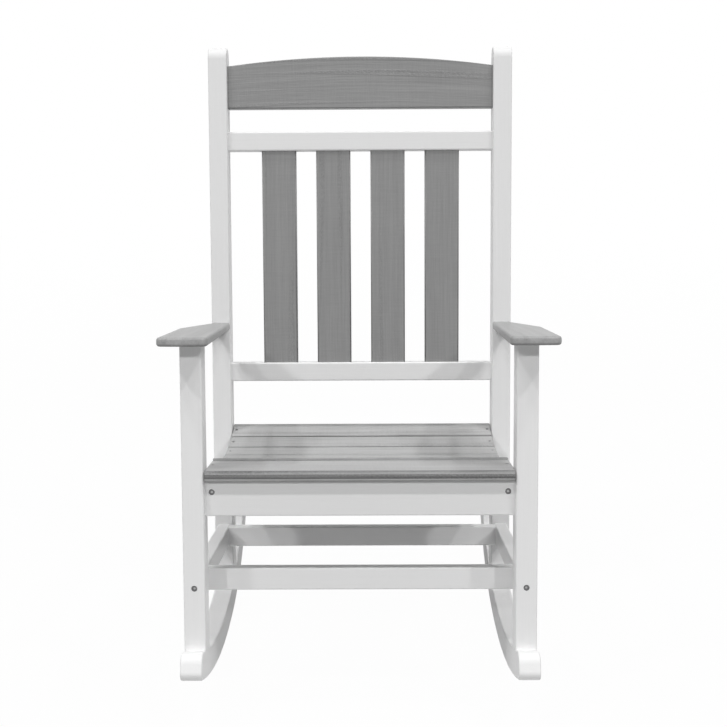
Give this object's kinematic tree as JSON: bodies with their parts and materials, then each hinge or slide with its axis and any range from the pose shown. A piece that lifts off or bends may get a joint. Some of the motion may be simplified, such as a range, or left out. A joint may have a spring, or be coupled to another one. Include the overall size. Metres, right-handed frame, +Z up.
{
  "type": "rocking adirondack chair",
  "caption": "Porch rocking chair with white frame boards on curved rockers, grey slatted back, scooped slatted seat, arched crest rail and broad flat arms.",
  "frame": {"origin": "centre of the bounding box at floor level, where the rockers touch the floor", "axes": "+Z up, -Y towards the front of the seat, +X to the right as the picture shows it"},
  "size_m": [0.6898, 0.7564, 1.123],
  "materials": {
    "white_lumber": "satin poly lumber",
    "grey_lumber": "brushed grain poly lumber",
    "stainless": "stainless",
    "dowel": "plain beech"
  },
  "bodies": {
    "root": {"rocker_left": "white_lumber", "rocker_right": "white_lumber", "front_leg_left": "white_lumber", "front_leg_right": "white_lumber", "back_post_left": "white_lumber", "back_post_right": "white_lumber", "seat_rail_left": "white_lumber", "seat_rail_right": "white_lumber", "front_apron": "white_lumber", "rear_seat_rail": "white_lumber", "side_stretcher_left": "white_lumber", "side_stretcher_right": "white_lumber", "front_stretcher": "white_lumber", "rear_stretcher": "white_lumber", "lower_back_rail": "white_lumber", "upper_back_rail": "white_lumber", "arm_left": "grey_lumber", "arm_right": "grey_lumber", "seat_nose_slat": "grey_lumber", "seat_slat_2": "grey_lumber", "seat_slat_3": "grey_lumber", "seat_slat_4": "grey_lumber", "seat_slat_5": "grey_lumber", "seat_slat_6": "grey_lumber", "seat_slat_7": "grey_lumber", "crest_rail": "grey_lumber", "back_slat_1": "grey_lumber", "back_slat_2": "grey_lumber", "back_slat_3": "grey_lumber", "back_slat_4": "grey_lumber", "leg_bolts": "stainless", "post_bolts": "stainless", "apron_bolts": "stainless", "barrel_nuts": "stainless", "rail_screws": "stainless", "apron_screws": "stainless", "seat_rail_screws": "stainless", "stretcher_screws": "stainless", "arm_screws": "stainless", "rocker_lag_screws": "stainless", "seat_screws": "stainless", "arm_dowels": "dowel"}
  },
  "joints": []
}
